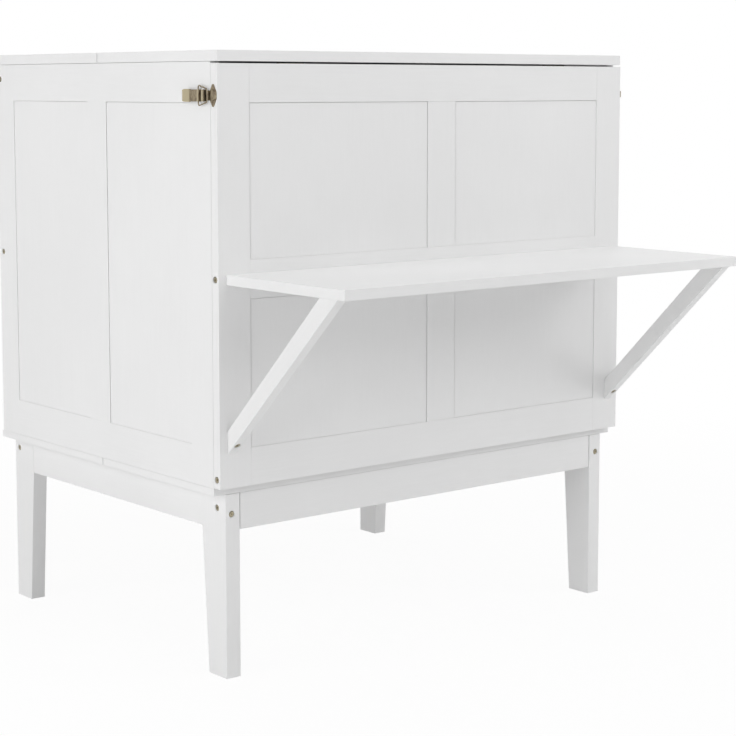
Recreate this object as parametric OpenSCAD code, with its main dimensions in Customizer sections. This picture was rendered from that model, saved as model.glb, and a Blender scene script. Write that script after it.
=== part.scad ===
// Cabinet wall bed: a panelled chest on four legs whose front folds down into the bed.
// Lengths are in millimetres. +Z is up, -Y is the front, and the floor is at z = 0.
// Distances called "back" run from the outer face of the closed front panel towards the wall.

/* [Cabinet] */
// Width of the box, the lid and the front panel
cabinet_w = 1045; // [950:5:1400]
// Depth from the front panel's outer face to the rear edge of the lid
lid_depth = 816; // [760:2:1000]
// Rear overhang of the lid and base boards past the side frames
rear_overhang = 6; // [0:1:20]
// Height from the base boards to the underside of the lid
box_h = 780; // [740:5:900]
// Thickness of the lid boards
lid_t = 21; // [16:1:30]
// Thickness of the base boards
base_t = 15; // [12:1:24]
// Distance from the front panel's outer face back to the joint across the lid
seam_back = 407.5; // [380:0.5:430]
// Gap of the joint across the lid and across the base boards
seam_gap = 1; // [0.5:0.1:2]

/* [Legs] */
// Height of the legs, floor to base boards
leg_h = 350; // [300:5:420]
// Thickness of a leg seen from the front
leg_t = 32; // [26:1:45]
// Depth of a leg at the top, seen from the side
leg_top_d = 76; // [60:1:95]
// Depth of a leg at the floor, seen from the side
leg_foot_d = 57; // [40:1:60]
// Inset of the legs from the sides of the box
leg_inset = 26; // [10:1:50]
// Inset of the rear legs from the rear edge of the side frames
rear_leg_inset = 3; // [0:1:30]
// Height of the apron boards
apron_h = 70; // [50:1:100]
// Setback of the front apron from the front of the legs
apron_setback = 2; // [0:0.5:6]
// Thickness of the middle beam under the joint of the base boards
beam_t = 40; // [30:1:60]

/* [Side frames] */
// Thickness of the side frames
side_t = 20.5; // [18:0.5:28]
// Width of the front and rear stiles
side_stile_w = 70; // [50:1:90]
// Width of the middle stile
side_mid_stile_w = 70.5; // [50:0.5:90]
// Distance from the outer face of the front panel back to the middle stile
side_mid_back = 376.5; // [350:0.5:420]
// Height of the top and bottom rails
side_rail_h = 74; // [50:1:95]

/* [Front panel] */
// Thickness of the front panel's frame
panel_t = 20.5; // [18:0.5:28]
// Gap between the base boards and the closed front panel
panel_lift = 1; // [0.8:0.1:3]
// Gap between the closed front panel and the lid
panel_head_gap = 3; // [3:0.5:10]
// Gap between the closed front panel and the side frames
panel_back_gap = 0.5; // [0.5:0.1:4]
// Width of the stiles
panel_stile_w = 71; // [50:1:95]
// Height of the top and bottom rails
panel_rail_h = 71; // [50:1:95]
// Height of the middle rail
panel_mid_rail_h = 72; // [50:1:95]
// Distance of the middle rail's centre below the middle of the front panel
panel_mid_drop = 5; // [-20:1:20]
// Width of the short uprights between the rails
muntin_w = 73; // [50:1:95]
// Distance of the uprights to the right of the middle
muntin_shift = 15; // [-30:1:30]

/* [Recessed panels] */
// Thickness of the recessed panels
infill_t = 10; // [6:0.5:12]
// Depth of the recess from the frame's outer face
recess = 1.5; // [1:0.5:6]
// Depth of the grooves that hold the recessed panels
groove = 8; // [5:0.5:12]
// Play of a panel in its groove, each way
infill_play = 0.2; // [0.1:0.05:0.5]

/* [Back] */
// Thickness of the rails across the back
back_t = 24; // [20:1:32]
// Height of the rails across the back
back_rail_h = 70; // [50:1:95]
// Thickness of the plywood sheets of the back
back_sheet_t = 6; // [4:0.5:9]

/* [Shelf] */
// Height of the shelf's upper face above the middle rail's centre
shelf_rise = 11.5; // [-10:0.5:20]
// Thickness of the shelf
shelf_t = 18.5; // [15:0.5:25]
// Inset of the shelf's ends from the sides of the front panel
shelf_inset = 16.5; // [5:0.5:40]
// Gap left between the shelf's edge and the floor when it stands as a leg
floor_gap = 0.5; // [0.3:0.1:3]
// Thickness of a brace
brace_t = 20; // [16:1:30]
// Reach of a brace under the shelf, from the front panel to its far corner
brace_reach = 325; // [280:1:335]
// Length of a brace's upper end, along the underside of the shelf
brace_head = 50; // [35:1:60]
// Height of the lower corner of a brace above the front panel's lower edge
brace_foot_rise = 64; // [40:1:90]
// Height of a brace's lower end, up the front panel
brace_foot_h = 42; // [35:1:60]

/* [Foot section] */
// Length of the foot section that unfolds past the front panel
foot_len = 354; // [280:2:400]
// Thickness of the foot section's board
foot_board_t = 15; // [12:1:20]
// Distance of the foot section's hinge line below the front panel's upper edge
foot_hinge_drop = 1.2; // [0.8:0.2:2]
// Gap between the foot section and the side frames
foot_side_gap = 6; // [3:0.5:20]
// Width of the battens under the foot section
batten_w = 30; // [20:1:45]
// Thickness of the battens and of the fold-out legs
batten_t = 25; // [20:1:32]
// Width of the fold-out legs
fold_leg_w = 40; // [30:1:50]
// Distance from the foot section's hinge line to the middle of its legs
fold_leg_reach = 194; // [180:2:200]
// Distance from the foot section's end edges to the leg pivots
fold_leg_inset = 26; // [20:1:60]
// Diameter of the leg pivot pins
fold_pin_d = 8; // [6:0.5:12]
// Play of a fold-out leg between its battens, each side
fold_play = 0.5; // [0.3:0.1:1.5]

/* [Hinges] */
// Length of a hinge along its pin
hinge_len = 60; // [45:1:90]
// Width of a hinge leaf
leaf_w = 22; // [16:1:30]
// Thickness of a hinge leaf
leaf_t = 2; // [1.5:0.1:2.4]
// Radius of a hinge knuckle
knuckle_r = 3; // [2.6:0.1:3.5]
// Diameter of a hinge pin
hinge_pin_d = 3; // [2:0.1:4]
// Distance of a hinge's axis from the faces that its leaves are let into
hinge_rise = 0.5; // [0.4:0.1:0.8]
// Gap between neighbouring knuckles
knuckle_gap = 0.3; // [0.2:0.05:0.6]
// Radial clearance of a pin in a knuckle
pin_clear = 0.05; // [0.03:0.01:0.1]
// Clearance of the wood round a knuckle
knuckle_room = 0.5; // [0.3:0.1:1]
// Clearance of a leaf in its mortise, sideways
leaf_play = 0.2; // [0.1:0.05:0.5]
// Distance of the lid hinges from the ends of the lid
lid_hinge_in = 204; // [120:2:300]
// Distance of the front panel hinges from its ends
panel_hinge_in = 150; // [120:2:300]
// Distance of the foot section hinges from the ends of the front panel
foot_hinge_in = 180; // [120:2:300]

/* [Toggle latches] */
// Distance of the latches below the lid
latch_drop = 61; // [45:0.1:70]
// Height of the keeper plate and of the bail
latch_h = 40.5; // [38:0.5:50]
// Distance back to the lever's pivot
latch_pivot_back = 36; // [36:0.5:46]
// Distance of the lever's pivot out from the side of the box
latch_pivot_out = 6; // [5.5:0.1:8]
// Length of the lever behind its pivot
lever_len = 54; // [50:1:70]
// Height of the lever
lever_h = 21.6; // [20:0.2:24]
// Thickness of the latch's sheet metal
latch_t = 1.5; // [1.2:0.1:2]
// Radius of the barrels rolled on the lever
barrel_r = 3.2; // [3:0.1:3.6]
// Height of the barrels above the lever's sheet
barrel_rise = 1.2; // [0.6:0.1:1.5]
// Radius of the lever's curled tail
tail_r = 20; // [14:1:24]
// Turn of the lever's curled tail, in degrees
tail_turn = 50; // [30:5:60]
// Height of the lever's tail
tail_h = 23.4; // [22:0.2:26]
// Radius of the corners of the tail's end
tail_round = 5; // [2:0.5:8]
// Distance from the lever's pivot back to the bail's pivot
bail_back = 14; // [13:0.5:17]
// Thickness of the bail's wire
bail_d = 2.5; // [2:0.1:3]
// Length of the bail, between wire centres
bail_len = 24.8; // [24.8:0.1:26]
// Height of the bail's front bar, between wire centres
bail_front_h = 23.2; // [22.8:0.2:26]
// Radius of the bends in the bail, to the wire's centre
bail_bend = 3; // [2:0.5:4]
// Lean of the bail's front bar towards the box
bail_lean = 1.3; // [0:0.1:2]
// Height of the keeper's hook
hook_h = 18; // [12:1:20]
// Distance back to the front of the keeper plate
keeper_front = 1; // [1:0.5:4]
// Distance of the keeper plate from the panel's inner face
keeper_edge = 0.5; // [0.5:0.5:2]
// Distance of the keeper's tips in front of its inner edge
keeper_tip = 8.5; // [5:0.5:9]
// Height of the raised middle of the keeper above its plate
keeper_boss = 2.1; // [1:0.1:2.4]
// Half the width of the keeper's tips
tip_half = 2; // [1:0.5:3]
// Length of the base plate in front of the lever's pivot
latch_base_front = 5; // [4:0.5:7]
// Length of the base plate behind the lever's pivot
latch_base_len = 38; // [34:1:50]
// Length of the point at the end of the base plate
latch_base_point = 8; // [5:0.5:12]
// Diameter of the lever's pivot pin
lever_pin_d = 3; // [2.5:0.1:4]

/* [Bolts] */
// Diameter of a bolt's head
bolt_head_d = 12; // [8:0.5:14]
// Height of a bolt's head
bolt_head_h = 2.4; // [1.6:0.1:3]
// Width of the sloping edge of a bolt's head
bolt_bevel = 1; // [0.4:0.1:1.4]
// Depth of a bolt's head below the surface of the wood
bolt_sink = 0.9; // [0.4:0.1:2]
// Play round a bolt's head in its counterbore
bolt_head_play = 0.5; // [0.3:0.1:1]
// Diameter of a bolt's shank
bolt_d = 6; // [4:0.5:7]
// Width across flats of the socket in a bolt's head
socket_w = 4; // [3:0.5:5]
// Radial clearance of a bolt in the wood
bolt_clear = 0.1; // [0.05:0.05:0.5]
// Length of the bolts that cross a side frame or a leg
short_bolt = 60; // [45:5:80]
// Length of the bolts that cross a stile's width or a leg's depth
long_bolt = 110; // [95:5:140]
// Length of the bolts that hold the braces
brace_bolt_len = 50; // [40:5:70]
// Distance of the side bolts from the rear edge of the side frames
side_bolt_edge = 14; // [11:0.5:20]
// Distance of the upper side bolts below the lid
side_bolt_drop = 29.7; // [15:0.1:60]
// Height of the middle bolts above the middle rail's centre
mid_bolt_rise = 2.3; // [-10:0.1:10]
// Height of the panel's lower bolts above its lower edge
low_bolt_rise = 16.7; // [12:0.1:40]
// Distance of the panel's bolts back from its outer face
panel_bolt_back = 11; // [9:0.5:12]
// Distance of the front legs' side bolts from their front
front_leg_bolt_edge = 27.6; // [22:0.2:36]
// Distance of the front legs' side bolts below the base boards
front_leg_bolt_drop = 29; // [22:1:35]
// Distance of the rear legs' side bolts from their back
rear_leg_bolt_edge = 16.3; // [12:0.1:20]
// Distance of the rear legs' side bolts below the base boards
rear_leg_bolt_drop = 24; // [18:1:30]
// Distance of the legs' long bolts from the outer side of a leg
leg_bolt_side = 14; // [12:1:18]
// Distance of the legs' long bolts below the base boards
leg_bolt_drop = 38; // [36:1:48]
// Distance of the brace bolts out from the front panel
brace_bolt_back = 18; // [14:1:26]

/* [Hidden] */
$fn = 48;

paint = "#e9e7e2";
brass = "#b39f78";
nickel = "#8d867a";
plywood = "#d8c6a2";

// How far a cut runs on past the surface that it opens.
past = 1;

half_w = cabinet_w / 2;
side_front = panel_t + panel_back_gap;
side_back = lid_depth - rear_overhang;
inner_x = half_w - side_t;

base_z = leg_h + base_t;
lid_z = base_z + box_h;
lid_top = lid_z + lid_t;
panel_z = base_z + panel_lift;
panel_top = lid_z - panel_head_gap;

// The front panel's hinge line is at its inner lower corner, so the panel opens level with the base.
fold_back = panel_t + hinge_rise;
fold_z = base_z + hinge_rise;
shelf_reach = fold_z - fold_back - floor_gap;
front_y = (shelf_reach - lid_depth) / 2;

// The foot section's hinge line is near the front panel's inner upper corner.
foot_z = panel_top - foot_hinge_drop;
foot_top = foot_z - foot_hinge_drop - hinge_rise;
foot_front = fold_back + hinge_rise;
foot_half_w = inner_x - foot_side_gap;
foot_under = foot_front + foot_board_t;
fold_leg_x = foot_half_w - fold_leg_inset;
fold_pivot_back = foot_under + fold_play + batten_t / 2;
fold_leg_z = foot_z - fold_leg_reach;
// Open, a leg's pivot stands this high, so this is the leg's length less the gap at the floor.
fold_leg_len = fold_z - (fold_pivot_back - fold_back) - floor_gap;

leg_x = half_w - leg_inset;
leg_in_x = leg_x - leg_t;
leg_front = side_front;
leg_rear = side_back - rear_leg_inset;
apron_z = leg_h - apron_h;
apron_front_back = leg_front + apron_setback;

panel_mid_z = (panel_z + panel_top) / 2 - panel_mid_drop;
panel_mid_low = panel_mid_z - panel_mid_rail_h / 2;
panel_mid_high = panel_mid_z + panel_mid_rail_h / 2;
shelf_z = panel_mid_z + shelf_rise;
brace_foot_z = panel_z + brace_foot_rise;
panel_in_x = half_w - panel_stile_w;
side_rail_front = side_front + side_stile_w;
side_rail_rear = side_back - side_stile_w;
side_mid_rear = side_mid_back + side_mid_stile_w;
back_front = side_back - back_t;
back_mid_low = panel_mid_z - back_rail_h / 2;
back_sheet_back = back_front + (back_t - back_sheet_t) / 2;

latch_z = lid_z - latch_drop;
lever_skin = barrel_r - barrel_rise - latch_t;
ear_t = 1.2;
ear_gap = 0.3;
// The narrow end of the lever fits between the ears of its base, and they are as high as the lever.
lever_neck_h = lever_h - 2 * (ear_t + ear_gap);
hook_gap = 0.7;

// Bolts: place, turn about X and Y of a bolt that points up from its head, and length.
to_left = [0, -90];
to_back = [-90, 0];
to_front = [90, 0];
side_bolt_back = side_back - side_bolt_edge;
leg_bolt_x = leg_x - leg_bolt_side;
cabinet_bolt_list = [
  [[half_w, side_bolt_back, lid_z - side_bolt_drop], to_left, short_bolt],
  [[half_w, side_bolt_back, panel_mid_z + mid_bolt_rise], to_left, short_bolt],
  [[leg_x, leg_front + front_leg_bolt_edge, leg_h - front_leg_bolt_drop], to_left, short_bolt],
  [[leg_x, leg_rear - rear_leg_bolt_edge, leg_h - rear_leg_bolt_drop], to_left, short_bolt],
  [[leg_bolt_x, leg_front, leg_h - leg_bolt_drop], to_back, long_bolt],
  [[leg_bolt_x, leg_rear, leg_h - leg_bolt_drop], to_front, long_bolt]
];
panel_bolt_list = [
  [[half_w, panel_bolt_back, panel_mid_z + mid_bolt_rise], to_left, long_bolt],
  [[half_w, panel_bolt_back, panel_z + low_bolt_rise], to_left, long_bolt]
];
brace_slope = atan2(shelf_z - shelf_t - brace_foot_z, brace_reach);
brace_bolt_x = half_w - shelf_inset - brace_t / 2;

module slab(x, back, z) {
  // A board between two corners given as [low, high] pairs
  translate([x[0], front_y + back[0], z[0]])
    cube([x[1] - x[0], back[1] - back[0], z[1] - z[0]]);
}

module on_side(side) {
  // Right-hand shapes as drawn, left-hand ones mirrored
  if (side < 0) mirror([1, 0, 0]) children();
  else children();
}

module both_sides() {
  for (side = [-1, 1]) on_side(side) children();
}

module wire_loop(path, d) {
  // A closed loop of wire in the XY plane, with a 12-sided section, along the corners of a path
  n = len(path);
  function side(i) = let(v = path[(i + 1) % n] - path[i % n]) [v[1], -v[0]] / norm(v);
  function mitre(i) = let(a = side(i + n - 1), b = side(i)) (a + b) / (1 + a * b);
  points = [
    for (i = [0:n - 1], k = [0:11])
      let(p = path[i] + mitre(i) * cos(30 * k) * d / 2) [p[0], p[1], sin(30 * k) * d / 2]
  ];
  faces = [
    for (i = [0:n - 1], k = [0:11])
      let(j = (i + 1) % n, m = (k + 1) % 12) [12 * i + m, 12 * j + m, 12 * j + k, 12 * i + k]
  ];
  polyhedron(points, faces);
}

// Corners of a path, each rounded in three steps of radius r
function rounded(path, r) = [
  for (i = [0:len(path) - 1])
    let(
      n = len(path),
      into = path[i] - path[(i + n - 1) % n],
      out = path[(i + 1) % n] - path[i],
      a = into / norm(into),
      b = out / norm(out),
      turn = acos(a * b),
      centre = path[i] + (b - a) / norm(b - a) * r / cos(turn / 2),
      start = path[i] - a * r * tan(turn / 2) - centre,
      dir = sign(a[0] * b[1] - a[1] * b[0])
    )
    for (t = [0:turn / 3:turn + 0.01])
      centre + [start[0] * cos(t) - dir * start[1] * sin(t), dir * start[0] * sin(t) + start[1] * cos(t)]
];

module profile_x(x0, thick) {
  // Stands a [back, z] outline up and gives it a thickness along X
  translate([x0, front_y, 0]) rotate([90, 0, 90]) linear_extrude(thick) children();
}

// Bolts and their bores

module at_bolts(list) {
  for (b = list)
    translate([b[0][0], front_y + b[0][1], b[0][2]]) rotate([b[1][0], b[1][1], 0]) {
      $bolt_len = b[2];
      children();
    }
}

module at_brace_bolt() {
  // Square to the underside of the brace, near its lower end
  translate([brace_bolt_x, front_y - brace_bolt_back, brace_foot_z + brace_bolt_back * tan(brace_slope)])
    rotate([-brace_slope, 0, 0]) {
      $bolt_len = brace_bolt_len;
      children();
    }
}

module bolt() {
  // Cap head, sunk below the surface of the wood, with a six-sided socket
  translate([0, 0, bolt_sink]) difference() {
    union() {
      cylinder(d1 = bolt_head_d - 2 * bolt_bevel, d2 = bolt_head_d, h = bolt_bevel);
      translate([0, 0, bolt_bevel]) cylinder(d = bolt_head_d, h = bolt_head_h - bolt_bevel);
      cylinder(d = bolt_d, h = $bolt_len);
    }
    translate([0, 0, -past]) cylinder(d = socket_w / cos(30), h = bolt_head_h, $fn = 6);
  }
}

module bolt_bore() {
  translate([0, 0, -past]) {
    cylinder(d = bolt_d + 2 * bolt_clear, h = $bolt_len + bolt_sink + 2 * past);
    cylinder(d = bolt_head_d + 2 * bolt_head_play, h = bolt_sink + bolt_head_h + past);
  }
}

// Hinges: the axis lies along X, the leaf runs towards -Y and its face looks up

module knuckle(x) {
  translate([x[0], 0, 0]) rotate([0, 90, 0]) cylinder(r = knuckle_r, h = x[1] - x[0]);
}

module leaf(reach_zones) {
  edge = knuckle_r + knuckle_room;
  translate([-hinge_len / 2, -leaf_w, -hinge_rise - leaf_t]) cube([hinge_len, leaf_w - edge, leaf_t]);
  for (x = reach_zones)
    translate([x[0], -edge - past, -hinge_rise - leaf_t]) cube([x[1] - x[0], edge + past, leaf_t]);
}

function middle_zone() = [-hinge_len / 6 + knuckle_gap / 2, hinge_len / 6 - knuckle_gap / 2];
function outer_zones() = [
  [-hinge_len / 2, -hinge_len / 6 - knuckle_gap / 2], [hinge_len / 6 + knuckle_gap / 2, hinge_len / 2]
];

module hinge_fixed() {
  // The leaf with the two outer knuckles, which hold the pin
  leaf(outer_zones());
  for (x = outer_zones()) knuckle(x);
  translate([-hinge_len / 2, 0, 0]) rotate([0, 90, 0]) cylinder(d = hinge_pin_d, h = hinge_len);
}

module hinge_swing() {
  // The leaf with the middle knuckle, which turns on the pin
  difference() {
    union() {
      leaf([middle_zone()]);
      knuckle(middle_zone());
    }
    translate([-hinge_len / 2, 0, 0]) rotate([0, 90, 0])
      cylinder(d = hinge_pin_d + 2 * pin_clear, h = hinge_len);
  }
}

module hinge_pocket() {
  // Mortise for a leaf and a channel for the knuckles
  translate([-hinge_len / 2 - leaf_play, -leaf_w - leaf_play, -hinge_rise - leaf_t])
    cube([hinge_len + 2 * leaf_play, leaf_w + 2 * leaf_play, leaf_t + past]);
  translate([-hinge_len / 2 - knuckle_room, 0, 0]) rotate([0, 90, 0])
    cylinder(r = knuckle_r + knuckle_room, h = hinge_len + 2 * knuckle_room);
}

module at_hinges(inset, back, z) {
  for (x = [inset - half_w, half_w - inset]) translate([x, front_y + back, z]) children();
}

module at_lid_hinges() at_hinges(lid_hinge_in, seam_back, lid_top + hinge_rise) children();
module at_panel_hinges() at_hinges(panel_hinge_in, fold_back, fold_z) children();
module at_foot_hinges() at_hinges(foot_hinge_in, fold_back, foot_z) children();

// Legs and aprons

module front_leg(side) color(paint) on_side(side) difference() {
  profile_x(leg_in_x, leg_t) polygon([
    [leg_front, 0], [leg_front + leg_foot_d, 0], [leg_front + leg_top_d, apron_z],
    [leg_front + leg_top_d, leg_h], [leg_front, leg_h]
  ]);
  at_bolts(cabinet_bolt_list) bolt_bore();
}

module rear_leg(side) color(paint) on_side(side) difference() {
  profile_x(leg_in_x, leg_t) polygon([
    [leg_rear, 0], [leg_rear - leg_foot_d, 0], [leg_rear - leg_top_d, apron_z],
    [leg_rear - leg_top_d, leg_h], [leg_rear, leg_h]
  ]);
  at_bolts(cabinet_bolt_list) bolt_bore();
}

module cross_apron(back) color(paint) difference() {
  slab([-leg_in_x, leg_in_x], back, [apron_z, leg_h]);
  both_sides() at_bolts(cabinet_bolt_list) bolt_bore();
}

module side_apron(side) color(paint) on_side(side) difference() {
  slab([leg_in_x, leg_x], [leg_front + leg_top_d, leg_rear - leg_top_d], [apron_z, leg_h]);
  at_bolts(cabinet_bolt_list) bolt_bore();
}

module middle_beam() color(paint)
  slab([-leg_in_x, leg_in_x], [seam_back - beam_t / 2, seam_back + beam_t / 2], [apron_z, leg_h]);

// Base boards

module base_board_front() color(paint) difference() {
  slab([-half_w, half_w], [side_front, seam_back - seam_gap / 2], [leg_h, base_z]);
  at_panel_hinges() rotate([0, 0, 180]) hinge_pocket();
}

module base_board_rear() color(paint)
  slab([-half_w, half_w], [seam_back + seam_gap / 2, lid_depth], [leg_h, base_z]);

// Side frames

module side_infill(back, play) {
  slab([half_w - recess - infill_t - play, half_w - recess + play],
    [back[0] - groove - play, back[1] + groove + play],
    [base_z + side_rail_h - groove - play, lid_z - side_rail_h + groove + play]);
}

module side_infills(play) {
  side_infill([side_rail_front, side_mid_back], play);
  side_infill([side_mid_rear, side_rail_rear], play);
}

module side_member(side, back, z) color(paint) on_side(side) difference() {
  slab([inner_x, half_w], back, z);
  side_infills(infill_play);
  back_sheets_solid(infill_play);
  at_bolts(cabinet_bolt_list) bolt_bore();
}

module side_front_stile(side) side_member(side, [side_front, side_rail_front], [base_z, lid_z]);
module side_rear_stile(side) side_member(side, [side_rail_rear, side_back], [base_z, lid_z]);
module side_middle_stile(side) side_member(side, [side_mid_back, side_mid_rear],
  [base_z + side_rail_h, lid_z - side_rail_h]);
module side_top_rail(side) side_member(side, [side_rail_front, side_rail_rear],
  [lid_z - side_rail_h, lid_z]);
module side_bottom_rail(side) side_member(side, [side_rail_front, side_rail_rear],
  [base_z, base_z + side_rail_h]);
module side_panels(side) color(paint) on_side(side) side_infills(0);

// Back

module back_sheets_solid(play) {
  for (z = [[base_z + back_rail_h, back_mid_low], [back_mid_low + back_rail_h, lid_z - back_rail_h]])
    slab([-inner_x - groove - play, inner_x + groove + play],
      [back_sheet_back - play, back_sheet_back + back_sheet_t + play],
      [z[0] - groove - play, z[1] + groove + play]);
}

module back_rail(z) color(paint) difference() {
  slab([-inner_x, inner_x], [back_front, side_back], [z, z + back_rail_h]);
  back_sheets_solid(infill_play);
  both_sides() at_bolts(cabinet_bolt_list) bolt_bore();
}

module back_sheets() color(plywood) back_sheets_solid(0);

// Lid

module lid_rear() color(paint) difference() {
  slab([-half_w, half_w], [seam_back + seam_gap / 2, lid_depth], [lid_z, lid_top]);
  at_lid_hinges() rotate([0, 0, 180]) hinge_pocket();
}

module lid_front() color(paint) difference() {
  slab([-half_w, half_w], [0, seam_back - seam_gap / 2], [lid_z, lid_top]);
  at_lid_hinges() hinge_pocket();
}

module lid_hinge_fixed_leaves() color(brass) at_lid_hinges() rotate([0, 0, 180]) hinge_fixed();
module lid_hinge_swing_leaves() color(brass) at_lid_hinges() hinge_swing();

// Front panel

function panel_bays() = [
  for (x = [[-panel_in_x, muntin_shift - muntin_w / 2], [muntin_shift + muntin_w / 2, panel_in_x]],
       z = [[panel_z + panel_rail_h, panel_mid_low], [panel_mid_high, panel_top - panel_rail_h]]) [x, z]
];

module panel_infills_solid(play) {
  for (bay = panel_bays())
    slab([bay[0][0] - groove - play, bay[0][1] + groove + play],
      [recess - play, recess + infill_t + play],
      [bay[1][0] - groove - play, bay[1][1] + groove + play]);
}

module panel_member(x, z) color(paint) difference() {
  slab(x, [0, panel_t], z);
  panel_infills_solid(infill_play);
  both_sides() {
    at_bolts(panel_bolt_list) bolt_bore();
    at_brace_bolt() bolt_bore();
  }
  at_panel_hinges() rotate([-90, 0, 0]) hinge_pocket();
  at_foot_hinges() rotate([-90, 0, 0]) rotate([0, 0, 180]) hinge_pocket();
}

module panel_stile(side) {
  x = side < 0 ? [-half_w, -panel_in_x] : [panel_in_x, half_w];
  panel_member(x, [panel_z, panel_top]);
}

module panel_rail(z) panel_member([-panel_in_x, panel_in_x], z);

module panel_muntins() {
  x = [muntin_shift - muntin_w / 2, muntin_shift + muntin_w / 2];
  panel_member(x, [panel_z + panel_rail_h, panel_mid_low]);
  panel_member(x, [panel_mid_high, panel_top - panel_rail_h]);
}

module panel_infills() color(paint) panel_infills_solid(0);

module shelf_board() color(paint)
  slab([shelf_inset - half_w, half_w - shelf_inset], [-shelf_reach, 0], [shelf_z - shelf_t, shelf_z]);

module brace(side) color(paint) on_side(side) difference() {
  profile_x(half_w - shelf_inset - brace_t, brace_t) polygon([
    [0, brace_foot_z], [0, brace_foot_z + brace_foot_h],
    [brace_head - brace_reach, shelf_z - shelf_t], [-brace_reach, shelf_z - shelf_t]
  ]);
  at_brace_bolt() bolt_bore();
}

module panel_hinge_fixed_leaves() color(brass) at_panel_hinges() rotate([0, 0, 180]) hinge_fixed();
module panel_hinge_swing_leaves() color(brass) at_panel_hinges() rotate([-90, 0, 0]) hinge_swing();

// Foot section, drawn folded against the inner face of the closed front panel

module foot_board() color(paint) difference() {
  slab([-foot_half_w, foot_half_w], [foot_front, foot_under],
    [foot_z - foot_len, foot_top]);
  at_foot_hinges() rotate([90, 0, 0]) hinge_pocket();
}

module fold_pin_at() {
  translate([fold_leg_x, front_y + fold_pivot_back, fold_leg_z]) children();
}

module foot_battens() color(plywood) difference() {
  for (edge = [-fold_leg_w / 2 - fold_play - batten_w, fold_leg_w / 2 + fold_play])
    slab([-foot_half_w, foot_half_w], [foot_under, foot_under + batten_t],
      [fold_leg_z + edge, fold_leg_z + edge + batten_w]);
  both_sides() fold_pin_at() fold_pin(fold_pin_d + 2 * pin_clear, past);
}

module fold_pin(d, extra) {
  // A rod through both battens and the leg between them, or its bore with extra length
  half = fold_leg_w / 2 + fold_play + batten_w + extra;
  translate([0, 0, -half]) cylinder(d = d, h = 2 * half);
}

module foot_leg_pins() color(nickel) both_sides() fold_pin_at() fold_pin(fold_pin_d, 0);

module foot_leg(side) color(paint) on_side(side) fold_pin_at() difference() {
  union() {
    translate([-fold_leg_len, -batten_t / 2, -fold_leg_w / 2]) cube([fold_leg_len, batten_t, fold_leg_w]);
    translate([0, 0, -fold_leg_w / 2]) cylinder(d = batten_t, h = fold_leg_w);
  }
  fold_pin(fold_pin_d + 2 * pin_clear, past);
}

module foot_hinge_fixed_leaves() color(brass) at_foot_hinges()
  rotate([-90, 0, 0]) rotate([0, 0, 180]) hinge_fixed();
module foot_hinge_swing_leaves() color(brass) at_foot_hinges() rotate([90, 0, 0]) hinge_swing();

// Toggle latches: X runs out from the side of the box, Y runs back, Z is up

module at_latch(side) on_side(side) translate([half_w, front_y, latch_z]) children();

module latch_plate(outline) rotate([90, 0, 90]) linear_extrude(latch_t) polygon(outline);

module level_bar(h) translate([0, 0, -h / 2]) linear_extrude(h) children();

module arc_band(r, thick, turn) {
  // A bent strip that starts along +Y at the origin and curls towards +X
  translate([r, 0]) intersection() {
    difference() {
      circle(r = r + thick);
      circle(r = r);
    }
    polygon([[0, 0], [-2 * r, 0], [-2 * r, 2 * r * sin(turn / 2) / cos(turn / 2)],
      [-2 * r * cos(turn), 2 * r * sin(turn)]]);
  }
}

module latch_keeper(side) color(brass) at_latch(side) {
  // Pointed plate on the panel's edge with a hook that stands over the side frame
  inner = panel_t - keeper_edge;
  tip = inner - keeper_tip;
  hook_back = latch_pivot_back + bail_back - bail_len - bail_d / 2 - hook_gap;
  hook_out = latch_pivot_out + latch_t / 2;
  latch_plate([
    [tip - tip_half, -latch_h / 2], [tip + tip_half, -latch_h / 2],
    [inner, -hook_h / 2], [inner, hook_h / 2],
    [tip + tip_half, latch_h / 2], [tip - tip_half, latch_h / 2],
    [keeper_front, hook_h / 3], [keeper_front, -hook_h / 3]
  ]);
  translate([latch_t, 0, 0]) rotate([90, 0, 90]) linear_extrude(keeper_boss) polygon([
    [tip + tip_half, -hook_h / 2], [inner - 2 * latch_t, 0], [tip + tip_half, hook_h / 2],
    [tip - tip_half, hook_h / 2], [keeper_front, hook_h / 3], [keeper_front, -hook_h / 3],
    [tip - tip_half, -hook_h / 2]
  ]);
  level_bar(hook_h) {
    translate([0, inner - latch_t]) square([2 * latch_t, latch_t]);
    translate([latch_t, inner - latch_t]) square([latch_t, hook_back - inner + latch_t]);
    translate([latch_t, hook_back - latch_t]) square([hook_out - latch_t, latch_t]);
    translate([hook_out - latch_t, hook_back - 3 * latch_t]) square([latch_t, 3 * latch_t]);
  }
}

module latch_base(side) color(brass) at_latch(side) {
  // Plate screwed to the side frame, with two ears that hold the lever's pin
  back = latch_pivot_back;
  half = lever_h / 2;
  point = back + latch_base_len;
  latch_plate([
    [back - latch_base_front, -half], [point - latch_base_point, -half], [point, 0],
    [point - latch_base_point, half], [back - latch_base_front, half]
  ]);
  for (z = [-half, half - ear_t]) translate([0, 0, z]) linear_extrude(ear_t) {
    translate([0, back - barrel_r]) square([latch_pivot_out, 2 * barrel_r]);
    translate([latch_pivot_out, back]) circle(r = barrel_r);
  }
  translate([latch_pivot_out, back, -half]) cylinder(d = lever_pin_d, h = lever_h);
}

module tongue(length, height) {
  // A strip along +X whose far end has rounded corners
  translate([0, -height / 2]) square([length - tail_round, height]);
  translate([0, tail_round - height / 2]) square([length, height - 2 * tail_round]);
  for (side = [-1, 1]) translate([length - tail_round, side * (height / 2 - tail_round)])
    circle(r = tail_round);
}

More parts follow.
